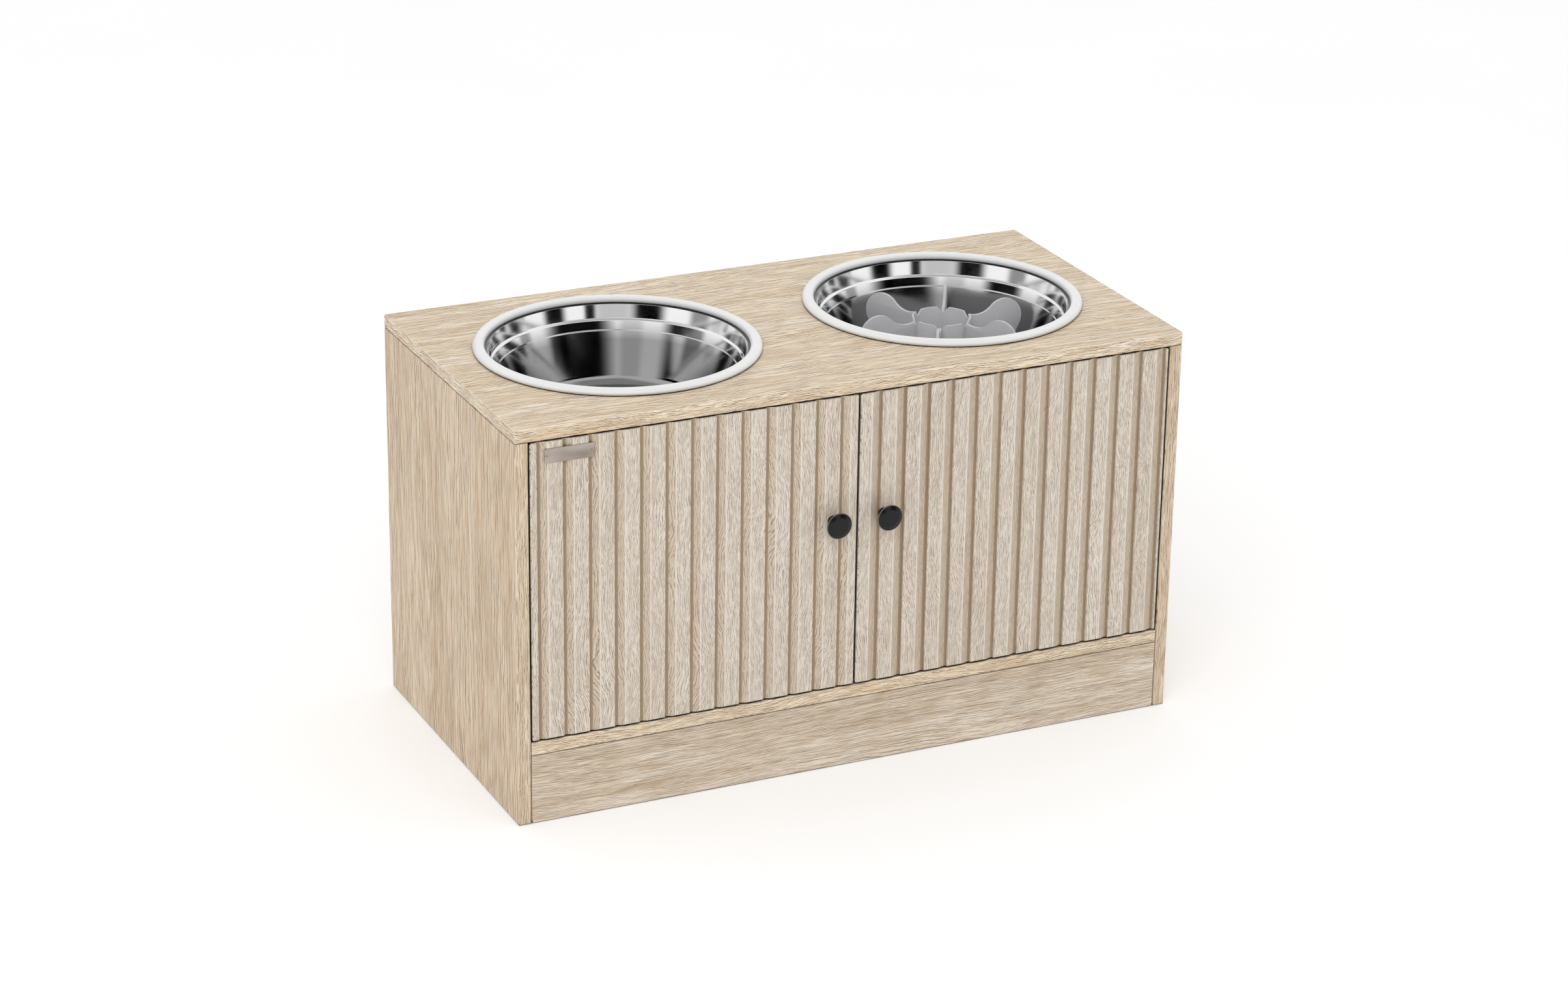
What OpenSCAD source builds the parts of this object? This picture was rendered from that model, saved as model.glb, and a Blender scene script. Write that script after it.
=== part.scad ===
// Elevated dog feeder with two lift-out bowls over a storage cupboard with fluted doors
// Millimetres. Z is up and the doors face -Y. The origin is on the floor, under the middle of the whole.

/* [Cabinet] */
// Width over the side panels
body_w = 640; // [600:5:760]
// Depth from the faces of the doors to the rear edge
body_d = 320; // [300:5:400]
// Height of the top surface above the floor
body_h = 365; // [320:5:450]
// Thickness of the cabinet boards
board_t = 12; // [12:0.5:16]
// Height of the kick board under the shelf
kick_h = 64.5; // [50:0.5:90]
// Width of the eased arris along the edges of the boards and doors
edge_ease = 0.8; // [0.4:0.1:1.2]

/* [Back panel] */
// Thickness of the back panel
back_t = 3; // [2.5:0.5:5]
// Distance from the rear edge of the boards to the groove of the back panel
back_inset = 7; // [5:1:15]
// Depth of the grooves that hold the back panel
groove_depth = 5; // [3:0.5:7]
// Clearance of the back panel in its grooves
groove_play = 0.2; // [0.1:0.05:0.5]

/* [Doors] */
// Thickness of a door
door_t = 15; // [13:0.5:20]
// Gap between a door and the boards round it
door_gap = 1.5; // [1.3:0.1:3]
// Gap between the two doors
meeting_gap = 2; // [1:0.1:4]
// Radius of the corners of a door, seen from the front
door_corner_r = 2; // [1:0.5:5]

/* [Flutes] */
// Distance from one flute to the next
flute_pitch = 23.5; // [18:0.5:32]
// Width of the flat floor of a flute
flute_floor = 3.2; // [2:0.1:5]
// Width of the slope that rises from the floor to the face
flute_ramp = 6.4; // [3:0.1:9]
// Depth of a flute
flute_depth = 2.5; // [1:0.1:3]
// Distance from the hinge edge of the left door to its first flute
left_flute_start = 6; // [2:0.1:12]
// Distance from the hinge edge of the right door to its first flute
right_flute_start = 2.4; // [2:0.1:12]

/* [Pivot hinges] */
// Distance from the hinge edge of a door to its pivot
pivot_inset = 20; // [16:1:28]
// Distance from the face of a door to its pivot
pivot_depth = 6; // [5.5:0.5:8]
// Diameter of the steel pivot pins
pin_d = 4; // [3:0.5:5]
// Length of a pin inside the door
pin_in_door = 14; // [8:1:25]
// Clearance of a pin in its bush, on the radius
pin_play = 0.05; // [0.02:0.01:0.1]
// Wall of a pivot bush
bush_wall = 1.45; // [1:0.05:1.8]
// Length of a bush inside its board
bush_l = 8; // [5:0.5:9]
// Width of the flange round a bush
bush_flange_w = 1.5; // [0.5:0.1:1.8]
// Clearance between a bush flange and the door
flange_play = 0.5; // [0.3:0.1:0.8]

/* [Knobs] */
// Diameter of the face of a knob
knob_d = 24; // [18:1:34]
// Distance from the door face to the face of a knob
knob_reach = 16; // [13:1:28]
// Thickness of the disc of a knob
knob_disc_t = 3.4; // [2:0.1:6]
// Bevel round the face of a knob
knob_bevel = 0.8; // [0.3:0.1:1.5]
// Diameter of the neck behind the disc
knob_neck_d = 8; // [7:0.5:12]
// Diameter of the foot on the door
knob_foot_d = 9.5; // [8:0.5:16]
// Distance from the meeting edge of a door to the centre of its knob
knob_inset = 23.5; // [18:0.5:35]
// Distance from the top edge of a door to the centre of its knob
knob_drop = 113.5; // [60:0.5:150]
// Diameter of the screw that holds a knob
knob_screw_d = 4; // [3:0.5:5]
// Depth of the threaded hole in a knob
knob_thread = 10; // [6:0.5:11]

/* [Magnetic catches] */
// Distance from the meeting edge of a door to the middle of its catch
catch_inset = 44; // [38:1:70]
// Width of a catch housing
catch_w = 24; // [20:1:34]
// Length of a catch housing, front to back
catch_l = 18; // [15:0.5:24]
// Height of a catch housing
catch_h = 11; // [9:0.5:14]
// Width of each screw ear of a catch
catch_ear_w = 9; // [8:0.5:12]
// Thickness of the screw ears
catch_ear_t = 2.5; // [2:0.5:4]
// Width of the magnet
magnet_w = 16; // [10:0.5:18]
// Depth of the magnet, front to back
magnet_l = 5; // [3:0.5:10]
// Height of the magnet
magnet_h = 6; // [4:0.5:7]
// Distance that the magnet stands out of its housing
magnet_proud = 0.4; // [0.2:0.1:1]
// Thickness of the strike plate on the door
strike_t = 1.2; // [0.8:0.1:2]
// Gap between the strike screws and the catch housing, seen from the front
strike_screw_gap = 1.2; // [1:0.1:4]
// Width of strike plate beyond the heads of its screws
strike_margin = 2; // [1:0.5:4]
// Height of the strike plate
strike_h = 12; // [10:0.5:16]
// Gap between a magnet and its closed strike plate
catch_gap = 0.3; // [0.3:0.1:1]
// Diameter of the small wood screws of the catches
wood_screw_d = 3; // [2.5:0.5:3.5]
// Length of the small wood screws under the head
wood_screw_l = 9; // [6:0.5:10]

/* [Cam fittings] */
// Diameter of a cam lock
cam_d = 12; // [10:0.5:15]
// Depth of a cam lock
cam_h = 9; // [7.5:0.5:9.5]
// Distance from the end of a board to the centre of its cam
cam_reach = 24; // [20:1:34]
// Diameter of the shaft of a cam bolt
bolt_d = 4; // [3:0.5:5]
// Diameter of the head of a cam bolt
bolt_head_d = 6; // [5.5:0.5:7]
// Length of thread in the face of a board
bolt_thread = 8; // [6:0.5:9]
// Distance from the front and rear edges to the cams
cam_inset = 45; // [40:1:70]
// Diameter of the wooden dowels
dowel_d = 6; // [5:0.5:6]
// Depth of a dowel in the face of a board
dowel_in_face = 8; // [6:0.5:9]
// Depth of a dowel in the end of a board
dowel_in_end = 16; // [12:0.5:24]
// Distance from the front and rear edges to the dowels
dowel_inset = 25; // [21:1:32]
// Distance from the long edges of the kick board to its fittings
rail_inset = 20; // [14:0.5:20]

/* [Bowls] */
// Distance between the centres of the two bowls
bowl_spacing = 320; // [290:5:330]
// Outer diameter of the rolled rim
bowl_rim_d = 255; // [235:1:265]
// Width of the rolled rim
rim_w = 10.5; // [9:0.5:11.5]
// Height of the rolled rim above the board
rim_h = 6; // [5.5:0.1:9]
// Thickness of the steel
steel_t = 0.8; // [0.6:0.1:1.2]
// Depth from the board to the floor of a bowl
bowl_depth = 68; // [60:1:85]
// Width of the ledge under the rim
lip_w = 1.8; // [1:0.1:3]
// Height of the band under the rim
upper_band_h = 12.5; // [9:0.5:14]
// Height of the second band
middle_band_h = 11.5; // [8:0.5:14]
// Draw of each band towards the middle
band_draw = 3; // [2:0.1:4.5]
// Width of the steps between the bands
step_w = 2.8; // [2:0.1:4]
// Height of the steps between the bands
step_h = 1.4; // [0.8:0.1:2.5]
// Draw of the wall below the bands
lower_draw = 13.4; // [9:0.1:16]
// Radius between the wall and the floor
floor_fillet = 12; // [6:0.5:15]
// Clearance of a bowl in the hole of the top board
hole_play = 0.8; // [0.5:0.1:2]

/* [Slow-feed insert] */
// Number of fins
fin_count = 6; // [4:1:8]
// Thickness of a fin
fin_t = 2.5; // [2:0.1:4]
// Distance from the board down to the top of the fins
fin_drop = 6; // [3:0.5:15]
// Distance from the middle of the bowl to the centre of the round lobe of a fin
lobe_reach = 64; // [60:0.5:68]
// Radius of the round lobe of a fin
lobe_r = 18; // [15:0.5:19]
// Distance from the middle of the bowl to the lowest point of the saddle
saddle_reach = 36; // [34:0.5:38]
// Depth of the saddle below the top of the fins
saddle_depth = 12; // [8:0.5:16]
// Distance from the middle of the bowl to the foot of the outer edge
fin_foot_reach = 62; // [56:0.5:68]
// Outer radius of the hub
hub_r = 27; // [22:0.5:28]
// Wall of the hub
hub_wall = 1.5; // [1.2:0.1:2.5]
// Height of the hub above the saddles
hub_rise = 3; // [1:0.5:5]
// Depth of the notch in the hub at each fin
hub_notch = 5.5; // [2:0.5:8]
// Thickness of the base of the insert
insert_base_t = 1.5; // [1:0.1:3]
// Clearance between the base of the insert and the curve of the bowl
insert_play = 3; // [1:0.5:6]

/* [Hidden] */
$fn = 96;
eps = 0.01;

// Colours
oak = [0.80, 0.74, 0.66];
hardboard = [0.86, 0.80, 0.70];
beech = [0.87, 0.74, 0.56];
black_gloss = [0.12, 0.12, 0.12];
black_plastic = [0.10, 0.10, 0.10];
steel = [0.78, 0.79, 0.80];
zinc = [0.66, 0.67, 0.68];
white_plastic = [0.92, 0.92, 0.90];
magnet_grey = [0.30, 0.30, 0.32];
grey_plastic = [0.66, 0.66, 0.67];

// Main planes. The knobs count in the depth of the whole, so the cabinet sits back by half their reach.
front_y = (knob_reach - body_d) / 2;
rear_y = front_y + body_d;
side_in_x = body_w / 2 - board_t;
under_top_z = body_h - board_t;
shelf_top_z = kick_h + board_t;
groove_y = rear_y - back_inset - back_t - 2 * groove_play;
groove_w = back_t + 2 * groove_play;

// Doors, in their own frame: X from the hinge edge, Y from the face, Z from the lower edge
door_z = shelf_top_z + door_gap;
door_h = under_top_z - door_gap - door_z;
door_w = side_in_x - door_gap - meeting_gap / 2;
hinge_edge_x = side_in_x - door_gap;
pivot_x = hinge_edge_x - pivot_inset;
pivot_y = front_y + pivot_depth;
door_rear_y = front_y + door_t;
flute_w = flute_floor + flute_ramp;
knob_at = [door_w - knob_inset, door_h - knob_drop];
strike_at = [door_w - catch_inset, door_h - edge_ease - strike_h / 2];
catch_x = meeting_gap / 2 + catch_inset;
magnet_y = door_rear_y + strike_t + catch_gap;
housing_y = magnet_y + magnet_proud;
catch_hole_dx = catch_w / 2 + catch_ear_w / 2;
magnet_z = under_top_z - catch_h / 2;

// Fasteners
screw_hole_play = 0.2;
function pan_head_d(d) = 2 * d;
function pan_head_h(d) = 0.6 * d;
wood_head_d = pan_head_d(wood_screw_d);
bolt_thread_d = bolt_d + 1;
bolt_hole_play = 0.25;
strike_hole_dx = (catch_w + wood_head_d) / 2 + strike_screw_gap;
strike_w = 2 * strike_hole_dx + wood_head_d + 2 * strike_margin;
bush_bore_r = pin_d / 2 + pin_play;
bush_r = bush_bore_r + bush_wall;
bush_flange_t = door_gap - flange_play;
pin_in_bush = bush_l - 1;

// Bowls
bowl_y = front_y + body_d / 2;
mouth_r = bowl_rim_d / 2 - rim_w;
rim_leg = rim_h - rim_w / 2;
upper_r = mouth_r - lip_w;
ledge_drop = 1;
ledge_h = 0.6;
upper_z = rim_leg - ledge_drop;
middle_r = upper_r - band_draw - step_w;
middle_z = upper_z - upper_band_h - step_h;
lower_r = middle_r - band_draw - step_w;
lower_z = middle_z - middle_band_h - step_h;
floor_r = lower_r - lower_draw;
hole_r = mouth_r + steel_t + hole_play;

// Angle at the foot of the wall, between the wall and the floor, and the run of the fillet along each
foot_angle = 90 + atan2(lower_draw, bowl_depth + lower_z);
fillet_run = floor_fillet / tan(foot_angle / 2);
fillet_steps = 8;
flat_floor_r = floor_r - fillet_run;

// Insert, with heights below the top of the board
insert_z = body_h - bowl_depth;
insert_r = flat_floor_r - insert_play;
lobe_z = bowl_depth - fin_drop - lobe_r;
saddle_z = bowl_depth - fin_drop - saddle_depth;
saddle_run = lobe_reach - saddle_reach;
// Radius of the saddle that meets the lobe in one smooth curve
saddle_r = (saddle_run ^ 2 + (lobe_r - saddle_depth) ^ 2 - lobe_r ^ 2) / (2 * saddle_depth);
hub_top = saddle_z + hub_rise;
tip_reach = hub_r + 1.5;
tip_foot = 1;
// Direction from the lobe to the point where the straight outer edge leaves it
foot_dx = fin_foot_reach - lobe_reach;
foot_distance = norm([foot_dx, lobe_z]);
leave_angle = atan2(-lobe_z, foot_dx) + acos(lobe_r / foot_distance);
// Direction from the lobe to the point where it runs into the saddle, and from the saddle to the tip by the hub
blend_angle = atan2(saddle_r + lobe_r - saddle_depth, -saddle_run);
tip_angle = -90 - asin((saddle_reach - tip_reach) / saddle_r);

// Plain shapes

// Rectangle with its four corners cut off by e
module eased_rect(w, h, e) {
    polygon([[e, 0], [w - e, 0], [w, e], [w, h - e], [w - e, h], [e, h], [0, h - e], [0, e]]);
}

// Rectangle with true round corners
module rounded_rect(w, h, r) {
    translate([r, 0]) square([w - 2 * r, h]);
    translate([0, r]) square([w, h - 2 * r]);
    for (x = [r, w - r], y = [r, h - r])
        translate([x, y]) circle(r);
}

// Moves a flat shape's X and Y to X and Z, with its thickness from y = 0 to y = t
module upright(t) {
    translate([0, t, 0]) rotate([90, 0, 0]) linear_extrude(t) children();
}

// Moves a flat shape's X and Y to Y and Z, with its length along X
module sideways(l) {
    rotate([90, 0, 90]) linear_extrude(l) children();
}

// Board with every edge eased
module board(size) {
    intersection() {
        linear_extrude(size.z) eased_rect(size.x, size.y, edge_ease);
        upright(size.y) eased_rect(size.x, size.z, edge_ease);
        sideways(size.x) eased_rect(size.y, size.z, edge_ease);
    }
}

// Everything on both the left and the right side, from a shape drawn on the right
module both_sides() {
    children();
    mirror([1, 0, 0]) children();
}

// Cam fittings
// Each place is a frame: Z points out of the face that carries the bolt, into the end of the other
// board, and X points out of the face that the cam is let into.

module top_cam_places() {
    for (y = [front_y + cam_inset, rear_y - cam_inset])
        translate([side_in_x + board_t / 2, y, under_top_z]) rotate([0, 180, 0]) children();
}

module shelf_cam_places() {
    for (y = [front_y + cam_inset, rear_y - cam_inset])
        translate([side_in_x, y, kick_h + board_t / 2]) rotate([0, -90, 0]) mirror([1, 0, 0]) children();
}

module kick_cam_places() {
    translate([side_in_x, front_y + board_t / 2, kick_h - rail_inset])
        rotate([0, -90, 0]) rotate([0, 0, 90]) children();
}

module rail_cam_places() {
    translate([side_in_x, rear_y - board_t / 2, kick_h - rail_inset])
        rotate([0, -90, 0]) rotate([0, 0, -90]) children();
}

module all_cam_places() {
    top_cam_places() children();
    shelf_cam_places() children();
    kick_cam_places() children();
    rail_cam_places() children();
}

module top_dowel_places() {
    for (y = [front_y + dowel_inset, rear_y - dowel_inset])
        translate([side_in_x + board_t / 2, y, under_top_z]) rotate([0, 180, 0]) children();
}

module shelf_dowel_places() {
    for (y = [front_y + dowel_inset, rear_y - dowel_inset])
        translate([side_in_x, y, kick_h + board_t / 2]) rotate([0, -90, 0]) children();
}

module kick_dowel_places() {
    translate([side_in_x, front_y + board_t / 2, rail_inset]) rotate([0, -90, 0]) children();
}

module rail_dowel_places() {
    translate([side_in_x, rear_y - board_t / 2, rail_inset]) rotate([0, -90, 0]) children();
}

module all_dowel_places() {
    top_dowel_places() children();
    shelf_dowel_places() children();
    kick_dowel_places() children();
    rail_dowel_places() children();
}

// Hole for the thread of a cam bolt, in the face of a board
module bolt_face_hole() {
    translate([0, 0, -bolt_thread]) cylinder(d = bolt_thread_d, h = bolt_thread + eps);
}

// Holes for a cam and its bolt, in the end of a board
module cam_hole() {
    translate([0, 0, -eps]) cylinder(d = bolt_head_d + 2 * bolt_hole_play, h = cam_reach + eps);
    translate([board_t / 2 - cam_h, 0, cam_reach]) rotate([0, 90, 0]) cylinder(d = cam_d, h = cam_h + eps);
}

// A dowel, which is also the shape of its holes
module dowel() {
    translate([0, 0, -dowel_in_face]) cylinder(d = dowel_d, h = dowel_in_face + dowel_in_end);
}

module cam_lock() {
    slot_w = 1.6;
    slot_depth = 1.4;
    head_room = 0.3;
    difference() {
        translate([board_t / 2 - cam_h, 0, cam_reach]) rotate([0, 90, 0]) cylinder(d = cam_d, h = cam_h);
        cylinder(d = bolt_head_d + 2 * head_room, h = cam_reach + bolt_head_d / 2);
        for (turn = [0, 90])
            translate([board_t / 2, 0, cam_reach]) rotate([turn, 0, 0])
                cube([2 * slot_depth, slot_w, 0.7 * cam_d], center = true);
    }
}

module cam_bolt() {
    head_h = bolt_head_d / 2;
    translate([0, 0, -bolt_thread]) cylinder(d = bolt_thread_d, h = bolt_thread);
    translate([0, 0, -eps]) cylinder(d = bolt_d, h = cam_reach);
    translate([0, 0, cam_reach - head_h / 2]) cylinder(d = bolt_head_d, h = head_h);
}

module cam_locks() {
    color(zinc) both_sides() all_cam_places() cam_lock();
}

module cam_bolts() {
    color(zinc) both_sides() all_cam_places() cam_bolt();
}

module wooden_dowels() {
    color(beech) both_sides() all_dowel_places() dowel();
}

// Cabinet

module top_board() {
    color(oak) difference() {
        translate([-body_w / 2, front_y, under_top_z]) board([body_w, body_d, board_t]);
        for (side = [-1, 1])
            translate([side * bowl_spacing / 2, bowl_y, under_top_z - 1]) cylinder(r = hole_r, h = board_t + 2);
        both_sides() {
            top_cam_places() bolt_face_hole();
            top_dowel_places() dowel();
            translate([pivot_x, pivot_y, under_top_z - 1]) cylinder(r = bush_r, h = bush_l + 1);
            translate([catch_x, 0, 0]) catch_screw_places() pilot_hole();
        }
        translate([-side_in_x - groove_depth, groove_y, under_top_z - 1])
            cube([2 * (side_in_x + groove_depth), groove_w, groove_depth + 1]);
    }
}

module side_panel() {
    difference() {
        translate([side_in_x, front_y, 0]) board([board_t, body_d, under_top_z]);
        top_cam_places() cam_hole();
        shelf_cam_places() bolt_face_hole();
        kick_cam_places() bolt_face_hole();
        rail_cam_places() bolt_face_hole();
        all_dowel_places() dowel();
        translate([side_in_x - 1, groove_y, shelf_top_z - groove_depth])
            cube([groove_depth + 1, groove_w, body_h]);
    }
}

module right_side_panel() {
    color(oak) side_panel();
}

module left_side_panel() {
    color(oak) mirror([1, 0, 0]) side_panel();
}

module bottom_shelf() {
    color(oak) difference() {
        translate([-side_in_x, front_y, kick_h]) board([2 * side_in_x, body_d, board_t]);
        both_sides() {
            shelf_cam_places() cam_hole();
            shelf_dowel_places() dowel();
            translate([pivot_x, pivot_y, shelf_top_z - bush_l]) cylinder(r = bush_r, h = bush_l + 1);
        }
        translate([-side_in_x - 1, groove_y, shelf_top_z - groove_depth])
            cube([2 * side_in_x + 2, groove_w, groove_depth + 1]);
    }
}

module kick_board() {
    color(oak) difference() {
        translate([-side_in_x, front_y, 0]) board([2 * side_in_x, board_t, kick_h]);
        both_sides() {
            kick_cam_places() cam_hole();
            kick_dowel_places() dowel();
        }
    }
}

module rear_rail() {
    color(oak) difference() {
        translate([-side_in_x, rear_y - board_t, 0]) board([2 * side_in_x, board_t, kick_h]);
        both_sides() {
            rail_cam_places() cam_hole();
            rail_dowel_places() dowel();
        }
    }
}

module back_panel() {
    bite = groove_depth - groove_play;
    color(hardboard) translate([-side_in_x - bite, groove_y + groove_play, shelf_top_z - groove_depth])
        cube([2 * (side_in_x + bite), back_t, under_top_z - shelf_top_z + groove_depth + bite]);
}

// Pivot hinges

module pivot_bush() {
    difference() {
        union() {
            cylinder(r = bush_r, h = bush_l);
            translate([0, 0, -bush_flange_t]) cylinder(r = bush_r + bush_flange_w, h = bush_flange_t);
        }
        translate([0, 0, -bush_flange_t - 1]) cylinder(r = bush_bore_r, h = bush_l + bush_flange_t + 2);
    }
}

module pivot_bushes() {
    color(black_plastic) both_sides() {
        translate([pivot_x, pivot_y, under_top_z]) pivot_bush();
        translate([pivot_x, pivot_y, shelf_top_z]) mirror([0, 0, 1]) pivot_bush();
    }
}

// Magnetic catches

// Places of the two screws of a catch, from its middle, with Z up into the board
module catch_screw_places() {
    for (dx = [-catch_hole_dx, catch_hole_dx])
        translate([dx, housing_y + catch_l / 2, under_top_z]) children();
}

// Pan-head screw with a cross recess: the head sits below z = 0 and the shank runs up from it
module pan_screw(d, l, point_l) {
    head_d = pan_head_d(d);
    head_h = pan_head_h(d);
    bevel = 0.2 * d;
    recess = [0.6 * head_d, 0.14 * head_d, head_h];
    translate([0, 0, -head_h]) difference() {
        rotate_extrude() polygon([
            [0, 0], [head_d / 2 - bevel, 0], [head_d / 2, bevel], [head_d / 2, head_h], [d / 2, head_h],
            [d / 2, head_h + l - point_l], [0, head_h + l]
        ]);
        for (turn = [0, 90])
            rotate([0, 0, turn]) cube(recess, center = true);
    }
}

module wood_screw() {
    pan_screw(wood_screw_d, wood_screw_l, wood_screw_d);
}

module pilot_hole() {
    translate([0, 0, -eps]) cylinder(d = wood_screw_d, h = wood_screw_l + 2 * eps);
}

module catch_housing() {
    total_w = catch_w + 2 * catch_ear_w;
    difference() {
        union() {
            translate([-catch_w / 2, housing_y, under_top_z - catch_h]) cube([catch_w, catch_l, catch_h]);
            translate([-total_w / 2, housing_y, under_top_z - catch_ear_t])
                cube([total_w, catch_l, catch_ear_t]);
        }
        translate([-magnet_w / 2, housing_y - 1, magnet_z - magnet_h / 2])
            cube([magnet_w, magnet_l - magnet_proud + 1, magnet_h]);
        catch_screw_places() translate([0, 0, -catch_h])
            cylinder(d = wood_screw_d + 2 * screw_hole_play, h = catch_h + 1);
    }
}

module catch_magnet() {
    translate([-magnet_w / 2, magnet_y, magnet_z - magnet_h / 2]) cube([magnet_w, magnet_l, magnet_h]);
}

module left_catch_housing() {
    color(white_plastic) translate([-catch_x, 0, 0]) catch_housing();
}

module right_catch_housing() {
    color(white_plastic) translate([catch_x, 0, 0]) catch_housing();
}

module left_catch_magnet() {
    color(magnet_grey) translate([-catch_x, 0, 0]) catch_magnet();
}

module right_catch_magnet() {
    color(magnet_grey) translate([catch_x, 0, 0]) catch_magnet();
}

module catch_screws() {
    color(zinc) for (side = [-1, 1])
        translate([side * catch_x, 0, -catch_ear_t]) catch_screw_places() wood_screw();
}

// Doors
// Drawn with the hinge edge at x = 0, the face at y = 0 and the lower edge at z = 0

module on_left() {
    translate([-hinge_edge_x, front_y, door_z]) children();
}

module on_right() {
    mirror([1, 0, 0]) on_left() children();
}

// Outline of a door from above, with its flutes
module fluted_section(start) {
    last = floor((door_w - edge_ease - start - flute_w) / flute_pitch);
    flutes = [
        for (i = [0:last]) let (x = start + i * flute_pitch)
            each [[x, 0], [x, flute_depth], [x + flute_floor, flute_depth], [x + flute_w, 0]]
    ];
    polygon(concat(
        [[0, edge_ease], [edge_ease, 0]], flutes, [[door_w - edge_ease, 0], [door_w, edge_ease]],
        [[door_w, door_t - edge_ease], [door_w - edge_ease, door_t], [edge_ease, door_t], [0, door_t - edge_ease]]
    ));
}

module pin_places() {
    translate([pivot_inset, pivot_depth, 0]) children();
    translate([pivot_inset, pivot_depth, door_h]) mirror([0, 0, 1]) children();
}

module strike_hole_places() {
    for (dx = [-strike_hole_dx, strike_hole_dx])
        translate([strike_at.x + dx, door_t, strike_at.y]) rotate([90, 0, 0]) children();
}

module door(start) {
    difference() {
        intersection() {
            linear_extrude(door_h) fluted_section(start);
            upright(door_t) rounded_rect(door_w, door_h, door_corner_r);
            sideways(door_w) eased_rect(door_t, door_h, edge_ease);
        }
        pin_places() translate([0, 0, -1]) cylinder(d = pin_d, h = pin_in_door + 1);
        translate([knob_at.x, -1, knob_at.y]) rotate([-90, 0, 0])
            cylinder(d = knob_screw_d + 2 * screw_hole_play, h = door_t + 2);
        strike_hole_places() pilot_hole();
    }
}

module door_pins() {
    pin_places() translate([0, 0, -door_gap - pin_in_bush])
        cylinder(d = pin_d, h = door_gap + pin_in_bush + pin_in_door);
}

module strike_plate() {
    difference() {
        translate([strike_at.x - strike_w / 2, door_t, strike_at.y - strike_h / 2])
            upright(strike_t) rounded_rect(strike_w, strike_h, 1.5);
        strike_hole_places() translate([0, 0, -strike_t - 1])
            cylinder(d = wood_screw_d + 2 * screw_hole_play, h = strike_t + 2);
    }
}

module strike_screws() {
    strike_hole_places() translate([0, 0, -strike_t]) wood_screw();
}

// Turned knob, with its axis along Z and its foot on z = 0
module knob() {
    ease = 0.4;
    foot_h = 1.2;
    flare_h = 2.3;
    back_bevel = 1.2;
    disc_z = knob_reach - knob_disc_t;
    difference() {
        rotate_extrude() polygon([
            [0, 0], [knob_foot_d / 2 - ease, 0], [knob_foot_d / 2, ease], [knob_foot_d / 2, foot_h],
            [knob_neck_d / 2, foot_h + flare_h], [knob_neck_d / 2, disc_z - back_bevel],
            [knob_neck_d / 2 + back_bevel, disc_z], [knob_d / 2 - back_bevel, disc_z],
            [knob_d / 2, disc_z + back_bevel], [knob_d / 2, knob_reach - knob_bevel],
            [knob_d / 2 - knob_bevel, knob_reach], [0, knob_reach]
        ]);
        translate([0, 0, -1]) cylinder(d = knob_screw_d, h = knob_thread + 1);
    }
}

// Moves the knob's axis to the hole in the door, pointing out of the face
module at_knob() {
    translate([knob_at.x, 0, knob_at.y]) rotate([90, 0, 0]) children();
}

module knob_screw() {
    translate([0, 0, -door_t]) pan_screw(knob_screw_d, door_t + knob_thread - 1, 0.5);
}

module left_door() {
    color(oak) on_left() door(left_flute_start);
}

module right_door() {
    color(oak) on_right() door(right_flute_start);
}

module left_door_knob() {
    color(black_gloss) on_left() at_knob() knob();
}

module right_door_knob() {
    color(black_gloss) on_right() at_knob() knob();
}

module left_knob_screw() {
    color(zinc) on_left() at_knob() knob_screw();
}

module right_knob_screw() {
    color(zinc) on_right() at_knob() knob_screw();
}

module left_door_pins() {
    color(steel) on_left() door_pins();
}

module right_door_pins() {
    color(steel) on_right() door_pins();
}

module left_strike_plate() {
    color(zinc) on_left() strike_plate();
}

module right_strike_plate() {
    color(zinc) on_right() strike_plate();
}

module left_strike_screws() {
    color(zinc) on_left() strike_screws();
}

module right_strike_screws() {
    color(zinc) on_right() strike_screws();
}

// Bowls

// Half section of the steel, moved out from the inner face by t: bands, wall, fillet and floor.
// The fillet turns from the slope of the wall to the flat of the floor.
function bowl_line(t) = concat(
    [[mouth_r + t, rim_leg]],
    [[mouth_r + t, upper_z + ledge_h - t], [upper_r + t, upper_z - t]],
    [[upper_r - band_draw + t, upper_z - upper_band_h - t], [middle_r + t, middle_z - t]],
    [[middle_r - band_draw + t, middle_z - middle_band_h - t], [lower_r + t, lower_z - t]],
    [
        for (i = [0:fillet_steps]) let (a = 90 - foot_angle - (180 - foot_angle) * i / fillet_steps)
            [flat_floor_r, floor_fillet - bowl_depth] + (floor_fillet + t) * [cos(a), sin(a)]
    ],
    [[0, -bowl_depth - t]]
);

function reversed(list) = [for (i = [len(list) - 1:-1:0]) list[i]];

// Rolled rim: half a tube that stands on the board with its outer leg
module rim_section() {
    translate([mouth_r + rim_w / 2, rim_leg]) difference() {
        circle(d = rim_w);
        circle(d = rim_w - 2 * steel_t);
        translate([-rim_w, -2 * rim_w]) square(2 * rim_w);
    }
    translate([bowl_rim_d / 2 - steel_t, 0]) square([steel_t, rim_leg]);
}

module bowl() {
    rotate_extrude() {
        rim_section();
        polygon(concat(bowl_line(0), reversed(bowl_line(steel_t))));
    }
}

module water_bowl() {
    color(steel) translate([-bowl_spacing / 2, bowl_y, body_h]) bowl();
}

module food_bowl() {
    color(steel) translate([bowl_spacing / 2, bowl_y, body_h]) bowl();
}

// Slow-feed insert, drawn from the floor of the bowl

function arc(centre, r, from, to, steps) = [
    for (i = [0:steps]) let (a = from + (to - from) * i / steps) centre + r * [cos(a), sin(a)]
];

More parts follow.
